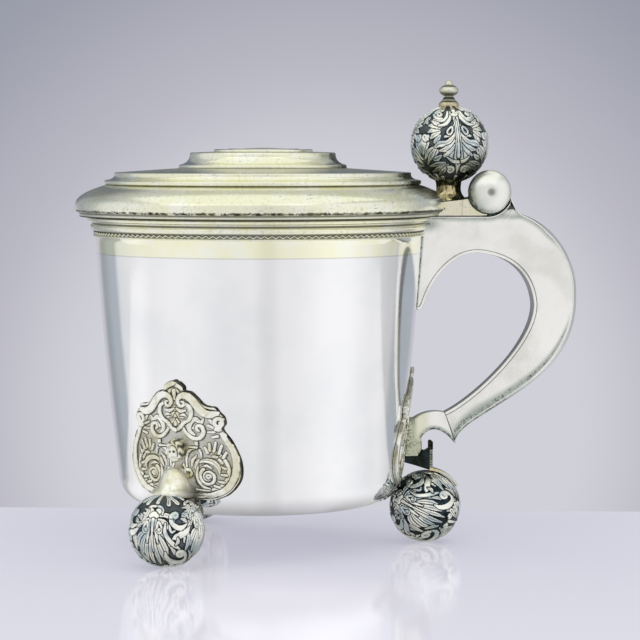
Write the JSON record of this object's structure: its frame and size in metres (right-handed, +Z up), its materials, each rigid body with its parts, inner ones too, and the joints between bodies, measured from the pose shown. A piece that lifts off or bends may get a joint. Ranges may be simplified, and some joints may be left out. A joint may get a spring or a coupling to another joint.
{
  "type": "tankard",
  "caption": "Silver drinking tankard with a hinged stepped lid, ball thumbpiece, hollow handle and ball feet with cast cartouches.",
  "frame": {"origin": "on the table, below the middle of the whole length from the lid's front edge to the handle's back", "axes": "+X from the body towards the handle, +Y across, +Z up"},
  "size_m": [0.2152, 0.1607, 0.2],
  "materials": {
    "polished_silver": "polished silver with fine wear scratches",
    "gilt_silver": "worn pale gilding over polished silver",
    "satin_silver": "soft satin silver, darker in corners",
    "oxidised_silver": "cast relief, dark in its hollows and bright on its ridges",
    "cast_silver": "cast and chased relief, warm grey"
  },
  "bodies": {
    "tankard": {"barrel": "polished_silver", "rim_moulding": "gilt_silver", "rim_wire": "gilt_silver", "rim_bead": "gilt_silver", "handle_side_front": "satin_silver", "handle_side_rear": "satin_silver", "handle_back_strap": "satin_silver", "handle_inner_strap": "satin_silver", "handle_top_plate": "satin_silver", "handle_terminal": "satin_silver", "handle_knuckle_front": "satin_silver", "handle_knuckle_middle": "satin_silver", "handle_knuckle_rear": "satin_silver", "hinge_pin": "satin_silver", "hinge_cap_front": "satin_silver", "hinge_cap_rear": "satin_silver", "handle_foot_tongue": "oxidised_silver", "handle_foot_ball": "oxidised_silver", "handle_foot_cartouche": "cast_silver", "handle_foot_chest": "cast_silver", "handle_foot_leaf": "cast_silver", "front_foot_ball": "oxidised_silver", "front_foot_cartouche": "cast_silver", "front_foot_chest": "cast_silver", "front_foot_leaf": "cast_silver", "front_foot_mask": "cast_silver", "rear_foot_ball": "oxidised_silver", "rear_foot_cartouche": "cast_silver", "rear_foot_chest": "cast_silver", "rear_foot_leaf": "cast_silver", "rear_foot_mask": "cast_silver"},
    "lid": {"lid_shell": "gilt_silver", "lid_bezel": "gilt_silver", "lid_medallion": "gilt_silver", "lid_hinge_leaf": "gilt_silver", "lid_knuckle_front": "satin_silver", "lid_knuckle_rear": "satin_silver", "thumbpiece_stem": "satin_silver", "thumbpiece_ball": "oxidised_silver", "thumbpiece_finial": "satin_silver"}
  },
  "joints": [
    {"name": "lid_hinge", "type": "hinge", "parent": "tankard", "child": "lid", "pos_m": [0.0696, 0, 0.152], "axis": [0, 1, 0], "range_deg": [0, 110]}
  ]
}
